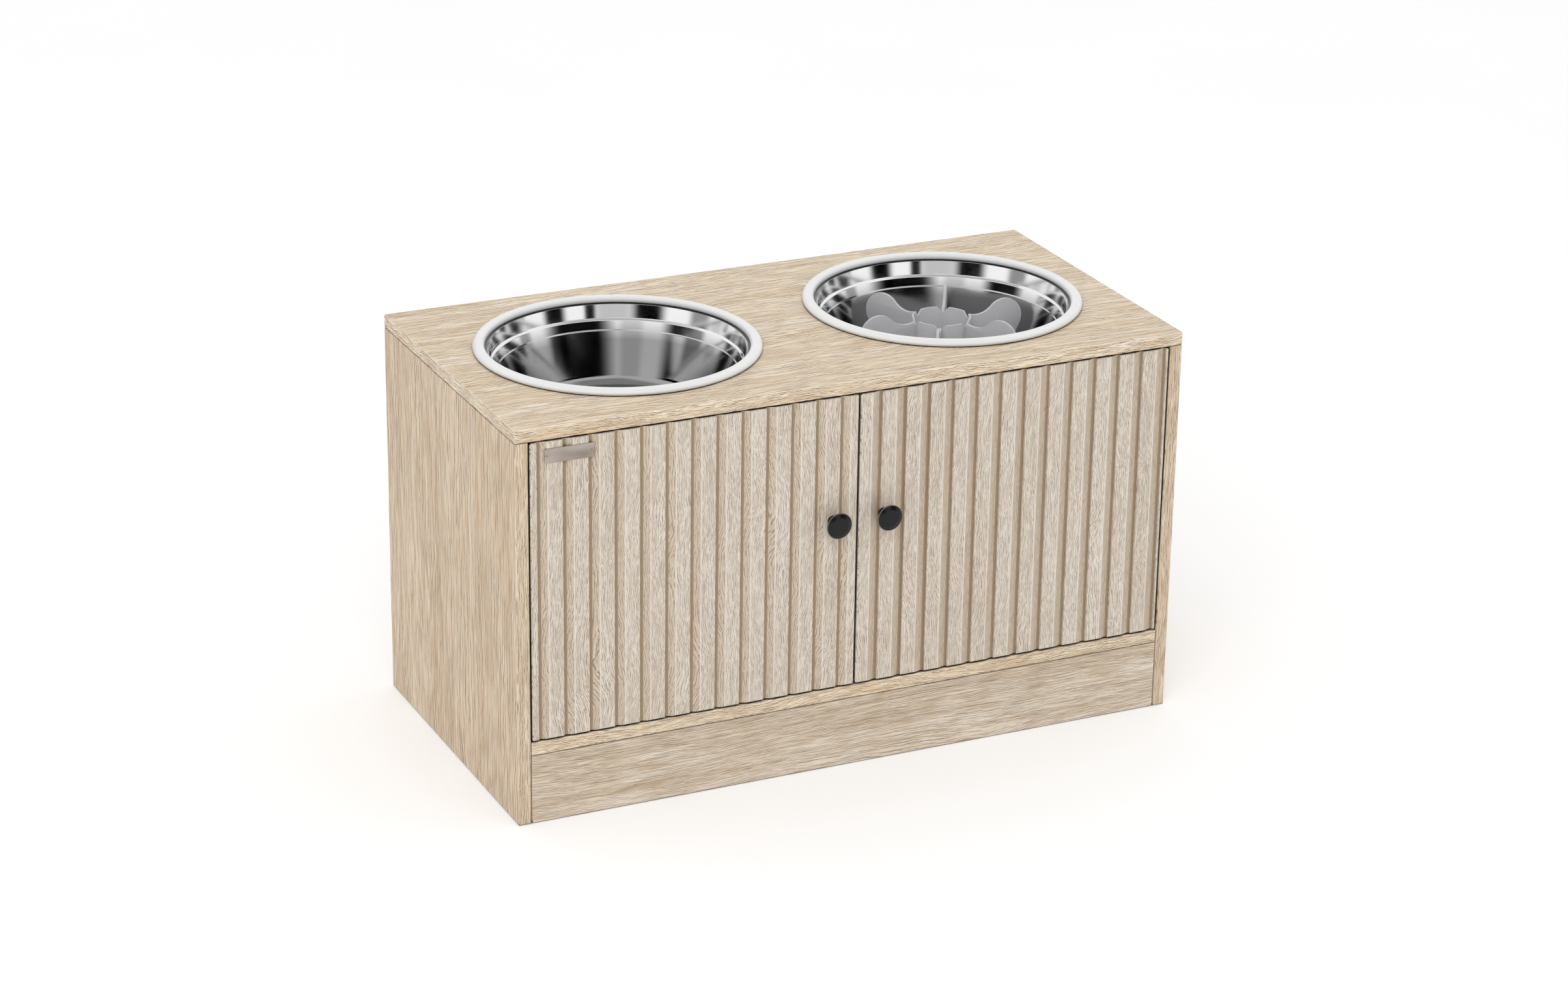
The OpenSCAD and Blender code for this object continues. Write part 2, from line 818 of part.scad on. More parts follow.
// Outline of a fin: a straight outer edge, a round lobe, a saddle and a raised tip by the hub
module fin_outline() {
    root_x = hub_r - hub_wall / 2;
    root_z = insert_base_t / 2;
    lobe_steps = 24;
    saddle_steps = 10;
    polygon(concat(
        [[root_x, root_z], [fin_foot_reach, root_z]],
        arc([lobe_reach, lobe_z], lobe_r, leave_angle, blend_angle, lobe_steps),
        arc([saddle_reach, saddle_z + saddle_r], saddle_r, blend_angle - 180, tip_angle, saddle_steps),
        [[root_x, hub_top - hub_notch - tip_foot]]
    ));
}

// Ring in the middle, with a square notch point-down at each fin
module hub() {
    difference() {
        translate([0, 0, insert_base_t / 2]) cylinder(r = hub_r, h = hub_top - insert_base_t / 2);
        cylinder(r = hub_r - hub_wall, h = hub_top + 1);
        for (i = [0:fin_count - 1])
            rotate([0, 0, i * 360 / fin_count]) translate([hub_r - 2 * hub_wall, 0, hub_top])
                sideways(4 * hub_wall) polygon([[0, -hub_notch], [hub_notch + 1, 1], [-hub_notch - 1, 1]]);
    }
}

module slow_feed_insert() {
    color(grey_plastic) translate([bowl_spacing / 2, bowl_y, insert_z]) {
        cylinder(r = insert_r, h = insert_base_t);
        hub();
        for (i = [0:fin_count - 1])
            rotate([0, 0, i * 360 / fin_count]) translate([0, -fin_t / 2, 0]) upright(fin_t) fin_outline();
    }
}

top_board();
left_side_panel();
right_side_panel();
bottom_shelf();
kick_board();
rear_rail();
back_panel();
cam_locks();
cam_bolts();
wooden_dowels();
pivot_bushes();
left_catch_housing();
right_catch_housing();
left_catch_magnet();
right_catch_magnet();
catch_screws();
left_door();
left_door_knob();
left_knob_screw();
left_door_pins();
left_strike_plate();
left_strike_screws();
right_door();
right_door_knob();
right_knob_screw();
right_door_pins();
right_strike_plate();
right_strike_screws();
water_bowl();
food_bowl();
slow_feed_insert();
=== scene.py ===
import math
import bpy
import bmesh
from mathutils import Matrix, Vector


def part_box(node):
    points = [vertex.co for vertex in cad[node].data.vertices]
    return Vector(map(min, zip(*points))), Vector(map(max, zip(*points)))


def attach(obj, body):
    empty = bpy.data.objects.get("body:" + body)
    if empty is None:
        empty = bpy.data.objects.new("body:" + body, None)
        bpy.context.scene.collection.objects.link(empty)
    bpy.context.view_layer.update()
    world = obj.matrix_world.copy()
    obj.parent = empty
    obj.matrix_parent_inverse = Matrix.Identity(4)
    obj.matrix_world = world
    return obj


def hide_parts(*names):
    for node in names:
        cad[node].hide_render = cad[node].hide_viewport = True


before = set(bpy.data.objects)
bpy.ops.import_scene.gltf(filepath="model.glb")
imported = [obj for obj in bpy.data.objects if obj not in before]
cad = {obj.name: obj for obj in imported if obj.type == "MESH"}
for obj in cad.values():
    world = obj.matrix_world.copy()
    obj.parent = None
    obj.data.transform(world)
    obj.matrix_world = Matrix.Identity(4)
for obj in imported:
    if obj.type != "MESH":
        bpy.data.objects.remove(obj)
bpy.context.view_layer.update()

# Elevated dog feeder: a low oak cabinet with two fluted doors, two steel bowls in its top
# and a slow-feed insert in the right bowl. Metres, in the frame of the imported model.

mm = 0.001
scene = bpy.context.scene
scene.view_settings.view_transform = "Standard"


def report(stage):
    print("feeder:", stage)


def srgb(r, g, b):
    linear = [((c / 255 + 0.055) / 1.055) ** 2.4 if c > 10 else c / 255 / 12.92 for c in (r, g, b)]
    return (*linear, 1.0)


# node helpers, short because every finish below uses them

def addNode(tree, kind, inputs=None, **settings):
    made = tree.nodes.new("ShaderNode" + kind)
    for name, value in settings.items():
        setattr(made, name, value)
    for key, value in (inputs or {}).items():
        if isinstance(value, bpy.types.NodeSocket):
            tree.links.new(value, made.inputs[key])
        else:
            made.inputs[key].default_value = value
    return made


def calc(tree, operation, a, b=0.0, c=0.0, clamp=False):
    return addNode(tree, "Math", {0: a, 1: b, 2: c}, operation=operation, use_clamp=clamp).outputs[0]


def vectorCalc(tree, operation, a, b):
    return addNode(tree, "VectorMath", {0: a, 1: b}, operation=operation).outputs[0]


def product(tree, first, *others):
    for other in others:
        first = calc(tree, "MULTIPLY", first, other)
    return first


def distance(tree, a, b):
    return calc(tree, "ABSOLUTE", calc(tree, "SUBTRACT", a, b))


def mixColor(tree, factor, a, b):
    return addNode(tree, "Mix", {0: factor, 6: a, 7: b}, data_type="RGBA").outputs[2]


def remap(tree, value, low, high, toLow=0.0, toHigh=1.0, smooth=False):
    spread = addNode(tree, "MapRange", {0: value, 1: low, 2: high, 3: toLow, 4: toHigh},
                     interpolation_type="SMOOTHSTEP" if smooth else "LINEAR")
    return spread.outputs[0]


def noise(tree, vector, stretch, detail=2.0, roughness=0.5):
    scaled = vectorCalc(tree, "MULTIPLY", vector, stretch)
    made = addNode(tree, "TexNoise", {"Vector": scaled, "Scale": 1.0, "Detail": detail,
                                      "Roughness": roughness})
    return made.outputs[0]


def overNoise(tree, cloud, low, high):  # spreads a noise's usual range over low to high
    return remap(tree, cloud, 0.3, 0.7, low, high)


def textureCoords(tree):
    return addNode(tree, "TexCoord").outputs


def axes(tree, vector):
    return addNode(tree, "SeparateXYZ", {0: vector}).outputs


def newMaterial(name, **sockets):
    material = bpy.data.materials.new(name)
    material.use_nodes = True
    tree = material.node_tree
    tree.nodes.clear()
    shader = addNode(tree, "BsdfPrincipled", sockets)
    addNode(tree, "OutputMaterial", {0: shader.outputs[0]})
    return material, tree, shader


def bump(tree, shader, height, reach, strength):
    made = addNode(tree, "Bump", {"Height": height, "Distance": reach, "Strength": strength})
    tree.links.new(made.outputs[0], shader.inputs["Normal"])


def dress(names, material):
    for name in names:
        slots = cad[name].data.materials
        slots.clear()
        slots.append(material)


# camera, at the photograph's angle

cameraView = {
    "target": (-0.0212, -0.0452, 0.2188),
    "distance": 3.607,
    "azimuth": -25.25,  # degrees, 0 looks along +Y
    "elevation": 21.82,
    "roll": 0.84,
    "lens": 92.5,
    "sensor": 36.0,
    "farClip": 50,
}


def makeCamera(v):
    az, el, roll = (math.radians(v[k]) for k in ("azimuth", "elevation", "roll"))
    back = Vector((math.sin(az) * math.cos(el), -math.cos(az) * math.cos(el), math.sin(el)))
    right = Vector((0, 0, 1)).cross(back).normalized()
    up = back.cross(right)
    turn, tip = math.cos(roll), math.sin(roll)
    tilted = Matrix((turn * right + tip * up, turn * up - tip * right, back)).transposed()
    camera = bpy.data.objects.new("camera", bpy.data.cameras.new("camera"))
    place = Vector(v["target"]) + v["distance"] * back
    camera.matrix_world = Matrix.Translation(place) @ tilted.to_4x4()
    camera.data.lens = v["lens"]
    camera.data.sensor_width = v["sensor"]
    camera.data.clip_end = v["farClip"]
    scene.collection.objects.link(camera)
    scene.camera = camera


makeCamera(cameraView)
report("camera set")


# studio: white floor and surround, one soft key, and soft-edged black flags that only the steel sees

studio = {
    "domeLight": 0.86,
    "floorSize": 14.0,
    "floorTones": (srgb(246, 246, 246), srgb(249, 249, 249)),
    "floorCloud": (3, 3, 3),
    "floorLift": 0.16,  # what the white floor gains where the camera or the steel looks at it
    "keyPlace": (-1.5, -2.3, 2.4),
    "keyAim": (0, 0, 0.2),
    "keySize": 1.8,
    "keyPower": 24.0,
    "flagDistance": 4.2,
    "flagSpread": 1.25,  # the soft ends reach past the given width
    "flagFade": (0.5, 0.20),  # distance from the middle, in widths, where it is clear and where dark
    "flagHeights": (0.0, 1.65),
    "flags": [  # direction in degrees from +X, width in degrees, darkness
        (-17, 15, 0.60),
        (-56, 23, 1.00),
        (-90, 11, 1.00),
        (-111, 36, 0.42),
        (-142, 31, 1.00),
        (-191, 22, 0.70),
        (-235, 24, 0.60),
        (-262, 30, 0.95),
    ],
    "highFlagHeights": (1.65, 3.1),
    "highFlags": [  # the lower steps of the bowls look over the first flags at these
        (-5, 30, 0.95),
        (-76, 68, 1.00),
        (-128, 24, 0.30),
        (-181, 44, 1.00),
    ],
    "ceiling": (2.9, 1.7, 0.50),  # height, half width, darkness
}


def meshObject(name, verts, faces, material=None, smooth=False):
    mesh = bpy.data.meshes.new(name)
    mesh.from_pydata(verts, [], faces)
    mesh.update()
    if material:
        mesh.materials.append(material)
    if smooth:
        mesh.shade_smooth()
    made = bpy.data.objects.new(name, mesh)
    scene.collection.objects.link(made)
    return made


def makeWorld(s):
    world = bpy.data.worlds.new("studio")
    world.use_nodes = True
    tree = world.node_tree
    tree.nodes.clear()
    strength = remap(tree, seenRays(tree), 0, 1, s["domeLight"], 1.0)
    light = addNode(tree, "Background", {0: (1, 1, 1, 1), 1: strength})
    addNode(tree, "OutputWorld", {0: light.outputs[0]})
    scene.world = world


def seenRays(tree):
    path = addNode(tree, "LightPath")
    seen = calc(tree, "MAXIMUM", path.outputs["Is Camera Ray"], path.outputs["Is Glossy Ray"])
    return calc(tree, "MAXIMUM", seen, path.outputs["Is Transmission Ray"])


def makeFloor(s):
    half = s["floorSize"] / 2
    material, tree, shader = newMaterial("studioFloor", **{"Roughness": 0.9, "Specular IOR Level": 0.0,
                                                           "Emission Color": (1, 1, 1, 1)})
    cloud = noise(tree, textureCoords(tree)["Object"], s["floorCloud"])
    tree.links.new(mixColor(tree, cloud, *s["floorTones"]), shader.inputs["Base Color"])
    tree.links.new(product(tree, seenRays(tree), s["floorLift"]), shader.inputs["Emission Strength"])
    corners = [(-half, -half, 0), (half, -half, 0), (half, half, 0), (-half, half, 0)]
    floor = meshObject("floor", corners, [(0, 1, 2, 3)], material)


def makeFlag(name, verts, fade, darkness, place=(0, 0, 0), turn=0.0):
    material, tree, shader = newMaterial(name, **{"Base Color": (0, 0, 0, 1), "Roughness": 1.0,
                                                  "Specular IOR Level": 0.0})
    across = axes(tree, textureCoords(tree)["Generated"])["X"]
    soft = remap(tree, distance(tree, across, 0.5), *fade, 0.0, darkness, smooth=True)
    tree.links.new(soft, shader.inputs["Alpha"])
    flag = meshObject(name, verts, [(0, 1, 2, 3)], material)
    flag.location = place
    flag.rotation_euler = (0, 0, turn)
    flag.visible_camera = flag.visible_diffuse = flag.visible_shadow = False


def makeFlags(s):
    flags = [(*flag, *s["flagHeights"]) for flag in s["flags"]]
    flags += [(*flag, *s["highFlagHeights"]) for flag in s["highFlags"]]
    for i, (direction, width, darkness, low, high) in enumerate(flags):
        half = s["flagDistance"] * math.tan(math.radians(width / 2)) * s["flagSpread"]
        verts = [(-half, 0, low), (half, 0, low), (half, 0, high), (-half, 0, high)]
        turn = math.radians(direction)
        place = (s["flagDistance"] * math.cos(turn), s["flagDistance"] * math.sin(turn), 0)
        makeFlag(f"flag{i}", verts, s["flagFade"], darkness, place, turn - math.pi / 2)
    height, half, darkness = s["ceiling"]
    corners = [(x * half, y * half, height) for x, y in ((-1, -1), (1, -1), (1, 1), (-1, 1))]
    makeFlag("ceilingFlag", corners, s["flagFade"], darkness)


def makeKey(s):
    lamp = bpy.data.lights.new("key", "AREA")
    lamp.energy = s["keyPower"]
    lamp.size = s["keySize"]
    key = bpy.data.objects.new("key", lamp)
    key.location = place = Vector(s["keyPlace"])
    key.rotation_euler = (Vector(s["keyAim"]) - place).to_track_quat("-Z", "Y").to_euler()
    key.visible_glossy = False
    scene.collection.objects.link(key)


makeWorld(studio)
makeFloor(studio)
makeFlags(studio)
makeKey(studio)
report("studio lit")


# printed oak: broad bands, contour-line figure, streaks, fibres and short dark pores, all drawn
# out along the grain and bent a little; narrow edges carry a denser, darker banding

oakPrint = {
    "broad": (1.4, 26, 26),  # repeats per metre along the grain, then across it twice
    "band": (3.2, 95, 95),
    "line": (14, 420, 420),
    "fibre": (45, 1000, 1000),
    "drift": (30, 30, 30),
    "pore": (130, 900, 900),
    "poreSpan": (0.56, 0.66),
    "figure": (1.5, 8, 8),
    "ringSpan": (0.18, 0.5),
    "ringWhere": (0.35, 0.6),  # rings show where the band is pale
    "ringMean": 0.25,
    "wiggle": (110, 110, 110),
    "wiggleReach": 0.22 * mm,
    "lean": (0, 1, 0.83),  # across the grain, so that veins cross both faces of an arris
    "unbrokenSpan": (0.40, 0.58),
    "veinCore": 0.35,  # share of a vein's half width that has its full strength
    "fringeStep": 1.3,  # how far beside a vein its pale fringe lies, in half widths
    "fringeShare": 0.6,
    "veinShift": 3.1,  # metres between the places where two sets of veins read the noise
    "seedStep": (1.37, 2.11, 0.73),
    "endFacing": 0.8,  # above this a face looks along the grain
    "edgeFacing": 0.6,  # below this a face is an edge of the board
    "easedSpan": (0.86, 0.74),  # how squarely a face looks along an axis: eased arrises don't
    # painted shade: the oak darkens in crevices and in the V-grooves of board joints, where ambient
    # occlusion finds them
    "creviceShadeReach": 5 * mm,
    "creviceShadeTone": srgb(16, 14, 12),
    "creviceShadeSpan": (0.15, 0.58, 0.98, 0.0),  # openness from and to, then the shares there
    "jointShadeSpan": (0.55, 0.82, 0.90, 0.0),
    # painted highlight: open eased arrises turn paler
    "easedHighlightSpan": (0.85, 0.98, 0.0, 0.22),
    "specular": 0.35,
    "roughness": (0.62, 0.48),
    "relief": (0.10 * mm, 0.6),
}

oakBoards = {  # veins: how many per metre, their wander, half width and strength
    "top": {
        "grain": "X", "face": "Z", "bend": (7, 16, 16), "bendReach": 8 * mm,
        "tones": [(0.18, srgb(190, 155, 114)), (0.34, srgb(214, 187, 151)), (0.49, srgb(230, 210, 181)),
                  (0.64, srgb(240, 226, 203)), (0.80, srgb(247, 239, 225))],
        "dark": srgb(136, 106, 76), "weights": (0.42, 0.55, 0.50, 0.60), "rings": (30, 0.14),
        "veins": [(390, 3, 0.20, 0.95), (240, 3, 0.12, 0.90), (130, 2, 0.06, 0.75)],
        "breaks": (26, 260, 260),
        "edgeFine": 2.0, "edgeGain": 1.2, "poreShare": 0.12, "edgeShift": -0.02,
    },
    "side": {
        "grain": "Z", "face": "X", "bend": (6, 16, 16), "bendReach": 7 * mm,
        "tones": [(0.18, srgb(168, 138, 103)), (0.34, srgb(197, 170, 137)), (0.49, srgb(217, 195, 167)),
                  (0.64, srgb(229, 211, 186)), (0.80, srgb(238, 224, 205))],
        "dark": srgb(132, 104, 77), "weights": (0.40, 0.50, 0.40, 0.60), "rings": (26, 0.12),
        "veins": [(320, 1.6, 0.20, 0.90), (190, 1.6, 0.12, 0.80)], "breaks": (18, 210, 210),
        "edgeFine": 2.4, "edgeGain": 1.4, "poreShare": 0.14, "edgeShift": 0.0,
    },
    "door": {
        "grain": "Z", "face": "Y", "bend": (10, 13, 13), "bendReach": 13 * mm,
        "tones": [(0.18, srgb(180, 162, 141)), (0.34, srgb(206, 191, 172)), (0.49, srgb(221, 208, 192)),
                  (0.64, srgb(228, 218, 205)), (0.80, srgb(235, 228, 218))],
        "dark": srgb(122, 105, 87), "weights": (0.30, 0.40, 0.50, 0.60), "rings": (22, 0.06),
        "veins": [(800, 4.5, 0.20, 0.84), (500, 4.5, 0.13, 0.90)], "breaks": (110, 820, 820),
        "edgeFine": 1.0, "edgeGain": 1.0, "poreShare": 0.22, "edgeShift": 0.0,
    },
    "kick": {
        "grain": "X", "face": "Y", "bend": (5, 12, 12), "bendReach": 5 * mm,
        "tones": [(0.18, srgb(160, 137, 110)), (0.34, srgb(194, 173, 147)), (0.49, srgb(216, 200, 179)),
                  (0.64, srgb(230, 217, 200)), (0.80, srgb(239, 230, 217))],
        "dark": srgb(132, 110, 85), "weights": (0.45, 0.50, 0.45, 0.60), "rings": (24, 0.10),
        "veins": [(720, 2.6, 0.20, 0.85), (430, 2.6, 0.12, 0.80), (210, 2, 0.06, 0.60)],
        "breaks": (24, 460, 460),
        "edgeFine": 1.0, "edgeGain": 1.0, "poreShare": 0.18, "edgeShift": -0.02,
    },
}

grainOrder = {"X": ("X", "Y", "Z"), "Z": ("Z", "X", "Y")}
edgeOrder = {"X": ("Y", "X", "Z"), "Z": ("X", "Y", "Z")}  # at a board's ends the bands run along the edge


def joinAxes(tree, place, order):
    return addNode(tree, "CombineXYZ", {i: place[axis] for i, axis in enumerate(order)}).outputs[0]


def swirl(tree, vector, stretch, reach):
    scaled = vectorCalc(tree, "MULTIPLY", vector, stretch)
    shift = addNode(tree, "TexNoise", {"Vector": scaled, "Scale": 1.0, "Detail": 1.0}).outputs[1]
    shift = vectorCalc(tree, "SUBTRACT", shift, (0.5, 0.5, 0.5))
    return vectorCalc(tree, "MULTIPLY", shift, (0, 2 * reach, 2 * reach))


def veinLines(tree, place, shift, breaks, count, wander, width, strength):
    p = oakPrint
    place = vectorCalc(tree, "ADD", place, (shift, shift, shift))
    phase = product(tree, noise(tree, place, p["drift"], 2, 0.6), wander)
    across = addNode(tree, "VectorMath", {0: place, 1: p["lean"]}, operation="DOT_PRODUCT")
    phase = calc(tree, "MULTIPLY_ADD", across.outputs["Value"], count, phase)
    unbroken = remap(tree, noise(tree, place, breaks, 1), *p["unbrokenSpan"])
    marks = []
    for beside, share in ((0.0, 1.0), (p["fringeStep"] * width, p["fringeShare"])):
        fromLine = calc(tree, "PINGPONG", calc(tree, "ADD", phase, beside), 0.5)
        line = remap(tree, fromLine, width, p["veinCore"] * width)
        marks.append(product(tree, line, unbroken, share * strength))
    return marks


def oakMaterial(name, board, seed, flutes=None):
    p, b = oakPrint, oakBoards[board]
    material, tree, shader = newMaterial(name, **{"Specular IOR Level": p["specular"]})
    coords = textureCoords(tree)
    place = axes(tree, coords["Object"])
    toward = axes(tree, vectorCalc(tree, "ABSOLUTE", coords["Normal"], (0, 0, 0)))
    atEnd = calc(tree, "GREATER_THAN", toward[b["grain"]], p["endFacing"])
    onEdge = atEnd if flutes else calc(tree, "LESS_THAN", toward[b["face"]], p["edgeFacing"])
    orders = {4: grainOrder[b["grain"]], 5: edgeOrder[b["grain"]]}
    ordered = {socket: joinAxes(tree, place, order) for socket, order in orders.items()}
    grainPlace = addNode(tree, "Mix", {0: atEnd, **ordered}, data_type="VECTOR").outputs[1]
    grainPlace = vectorCalc(tree, "ADD", grainPlace, [step * seed for step in p["seedStep"]])
    bent = vectorCalc(tree, "ADD", grainPlace, swirl(tree, grainPlace, b["bend"], b["bendReach"]))
    bent = vectorCalc(tree, "ADD", bent, swirl(tree, grainPlace, p["wiggle"], p["wiggleReach"]))

    fields = [noise(tree, bent, p[kind], detail, 0.55)
              for kind, detail in (("broad", 2), ("band", 2), ("line", 2), ("fibre", 1))]
    tone = 0.5 - 0.5 * sum(b["weights"])
    for field, weight in zip(fields, b["weights"]):
        tone = calc(tree, "MULTIPLY_ADD", field, weight, tone)
    ringCount, ringShare = b["rings"]
    rings = product(tree, noise(tree, bent, p["figure"], 1, 0.4), ringCount)
    ringLine = remap(tree, calc(tree, "PINGPONG", rings, 0.5), *p["ringSpan"], smooth=True)
    ringLine = product(tree, ringLine, remap(tree, fields[1], *p["ringWhere"]))
    ringLine = product(tree, calc(tree, "SUBTRACT", ringLine, p["ringMean"]), ringShare)
    tone = calc(tree, "SUBTRACT", tone, ringLine)
    tone = calc(tree, "MULTIPLY_ADD", onEdge, b["edgeShift"], tone)

    ramp = addNode(tree, "ValToRGB", {0: tone})
    stops = ramp.color_ramp.elements
    while len(stops) < len(b["tones"]):
        stops.new(0.5)
    for stop, (at, color) in zip(stops, b["tones"]):
        stop.position, stop.color = at, color
    color, calm = ramp.outputs[0], 0.0
    if flutes:
        color, calm = paintFluteShade(tree, color, place, toward["X"], flutes)
    paleTone = b["tones"][-1][1]
    gain = calc(tree, "MULTIPLY_ADD", onEdge, b["edgeGain"] - 1, 1.0)
    pore = remap(tree, noise(tree, bent, p["pore"], 1), *p["poreSpan"])
    dark, pale = product(tree, pore, b["poreShare"]), 0.0
    fine = calc(tree, "MULTIPLY_ADD", onEdge, b["edgeFine"] - 1, 1.0)
    veined = addNode(tree, "VectorMath", {0: bent, "Scale": fine}, operation="SCALE").outputs[0]
    for k, vein in enumerate(b["veins"]):
        vein, fringe = veinLines(tree, veined, p["veinShift"] * k, b["breaks"], *vein)
        dark, pale = calc(tree, "MAXIMUM", dark, vein), calc(tree, "MAXIMUM", pale, fringe)
    gain = product(tree, gain, calc(tree, "SUBTRACT", 1.0, calm))
    color = mixColor(tree, product(tree, pale, gain), color, paleTone)
    color = mixColor(tree, calc(tree, "MULTIPLY", dark, gain, clamp=True), color, b["dark"])

    flat = calc(tree, "MAXIMUM", calc(tree, "MAXIMUM", toward["X"], toward["Y"]), toward["Z"])
    eased = remap(tree, flat, *p["easedSpan"])
    around = addNode(tree, "AmbientOcclusion", {"Distance": p["creviceShadeReach"]}, samples=8).outputs["AO"]
    # painted highlight on open eased arrises
    color = mixColor(tree, product(tree, eased, remap(tree, around, *p["easedHighlightSpan"])), color, paleTone)
    # painted shade in crevices, then painted shade in the joints between boards
    color = mixColor(tree, remap(tree, around, *p["creviceShadeSpan"], smooth=True), color, p["creviceShadeTone"])
    jointShade = product(tree, eased, remap(tree, around, *p["jointShadeSpan"]))
    color = mixColor(tree, jointShade, color, p["creviceShadeTone"])
    tree.links.new(color, shader.inputs["Base Color"])

    tree.links.new(overNoise(tree, fields[3], *p["roughness"]), shader.inputs["Roughness"])
    bump(tree, shader, calc(tree, "SUBTRACT", product(tree, fields[3], 0.5), dark), *p["relief"])
    return material


# the flutes' floors and ramps get painted shade, darker than the faces, and each arris a painted
# highlight line

fluteShading = {
    "pitch": 23.5 * mm,
    "floorWidth": 3.2 * mm,
    "rampWidth": 6.4 * mm,
    "leftStart": 6.0 * mm,
    "rightStart": 2.4 * mm,
    "faceBand": 4.0 * mm,  # how deep behind the door's face the tone reaches
    "rampShadeTone": srgb(200, 180, 156),
    "rampShadeShare": 0.68,
    "rampEdge": 0.15 * mm,
    "rampCalm": 0.2,  # how far the ramps' marks are held back
    "floorShadeTone": srgb(155, 133, 107),
    "floorShadeShare": 0.92,
    "floorEdge": 0.4 * mm,
    "wallSpan": (0.7, 0.9, 1.0, 0.3),  # the step beside a floor takes only a part of its tone
    "arrisHighlightTone": srgb(233, 226, 216),
    "arrisHighlightShare": 0.7,
    "arrisPlace": 0.4 * mm,  # past the top of the ramp
    "arrisSpan": (0.9 * mm, 0.3 * mm),
}


def paintFluteShade(tree, color, place, sideways, flutes):
    f = fluteShading
    foot, top = f["floorWidth"] + flutes["floorShadeReach"], f["floorWidth"] + f["rampWidth"]
    fromEdge = calc(tree, "MULTIPLY_ADD", place["X"], flutes["sign"], flutes["offset"])
    within = calc(tree, "FLOORED_MODULO", fromEdge, f["pitch"])
    atFace = calc(tree, "LESS_THAN", place["Y"], flutes["faceY"] + f["faceBand"])
    atFace = product(tree, atFace, calc(tree, "GREATER_THAN", fromEdge, 0.0))
    onFloor = remap(tree, within, foot, foot - f["floorEdge"])
    onFloor = product(tree, onFloor, remap(tree, sideways, *f["wallSpan"]))
    onRamp = remap(tree, within, top + f["rampEdge"], top - f["rampEdge"])
    onArris = remap(tree, distance(tree, within, top + f["arrisPlace"]), *f["arrisSpan"])
    onRamp = product(tree, onRamp, atFace, f["rampShadeShare"])
    onFloor = product(tree, onFloor, atFace, f["floorShadeShare"])
    onArris = product(tree, onArris, atFace, f["arrisHighlightShare"])
    # painted shade on the ramps and the floors, painted highlight on each arris
    color = mixColor(tree, onRamp, color, f["rampShadeTone"])
    color = mixColor(tree, onFloor, color, f["floorShadeTone"])
    color = mixColor(tree, onArris, color, f["arrisHighlightTone"])
    calm = calc(tree, "MAXIMUM", onFloor, onArris)
    return color, calc(tree, "MAXIMUM", calm, product(tree, onRamp, f["rampCalm"]))


leftLow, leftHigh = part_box("left_door")
rightLow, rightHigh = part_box("right_door")
leftFlutes = {"sign": 1.0, "offset": -leftLow.x - fluteShading["leftStart"], "faceY": leftLow.y,
              "floorShadeReach": 0.8 * mm}  # how far the floor's painted shade runs up the ramp
rightFlutes = {"sign": -1.0, "offset": rightHigh.x - fluteShading["rightStart"], "faceY": rightLow.y,
               "floorShadeReach": -0.3 * mm}

oakPieces = [  # node, material, board, seed, flutes
    ("top_board", "oakTop", "top", 3, None),
    ("left_side_panel", "oakLeftSide", "side", 7, None),
    ("right_side_panel", "oakRightSide", "side", 11, None),
    ("bottom_shelf", "oakShelf", "top", 13, None),
    ("kick_board", "oakKick", "kick", 17, None),
    ("rear_rail", "oakRail", "kick", 19, None),
    ("left_door", "oakLeftDoor", "door", 23, leftFlutes),
    ("right_door", "oakRightDoor", "door", 29, rightFlutes),
]
for node, name, board, seed, flutes in oakPieces:
    dress([node], oakMaterial(name, board, seed, flutes))
report("oak laid")


# plain finishes of the fittings

def speckled(name, tones, scale, roughness, metallic=0.0, relief=0.02 * mm):
    material, tree, shader = newMaterial(name, Metallic=metallic)
    cloud = noise(tree, textureCoords(tree)["Object"], (scale, scale, scale), 4, 0.6)
    color = mixColor(tree, overNoise(tree, cloud, 0.0, 1.0), *tones)
    tree.links.new(color, shader.inputs["Base Color"])
    rough = overNoise(tree, cloud, 0.85 * roughness, 1.15 * roughness)  # 15 percent either way
    tree.links.new(rough, shader.inputs["Roughness"])
    bump(tree, shader, cloud, relief, 0.5)
    return material


fittings = {  # two tones, speckles per metre, roughness, metallic and relief, then the nodes
    "hardboardPale": ((srgb(190, 170, 138), srgb(232, 218, 196)), 260, 0.7, 0.0, 0.06 * mm,
                      ["back_panel"]),
    "beechDowel": ((srgb(206, 176, 134), srgb(222, 196, 156)), 900, 0.6, 0.0, 0.02 * mm,
                   ["wooden_dowels"]),
    "blackPlastic": ((srgb(26, 26, 26), srgb(34, 34, 34)), 1400, 0.42, 0.0, 0.02 * mm,
                     ["pivot_bushes"]),
    "zincPlate": ((srgb(158, 160, 163), srgb(184, 186, 188)), 300, 0.34, 1.0, 0.02 * mm,
                  ["cam_locks", "cam_bolts", "catch_screws", "left_knob_screw", "right_knob_screw",
                   "left_strike_plate", "right_strike_plate",
                   "left_strike_screws", "right_strike_screws"]),
    "pinSteel": ((srgb(176, 178, 180), srgb(196, 198, 200)), 900, 0.22, 1.0, 0.02 * mm,
                 ["left_door_pins", "right_door_pins"]),
    "whitePlastic": ((srgb(226, 226, 221), srgb(236, 236, 232)), 1400, 0.42, 0.0, 0.02 * mm,
                     ["left_catch_housing", "right_catch_housing"]),
    "magnetFerrite": ((srgb(58, 58, 62), srgb(74, 74, 78)), 1800, 0.5, 0.0, 0.02 * mm,
                      ["left_catch_magnet", "right_catch_magnet"]),
}

for name, (*finish, nodes) in fittings.items():
    dress(nodes, speckled(name, *finish))
report("fittings finished")


# outlines: corners become arcs, then the line is turned or drawn out

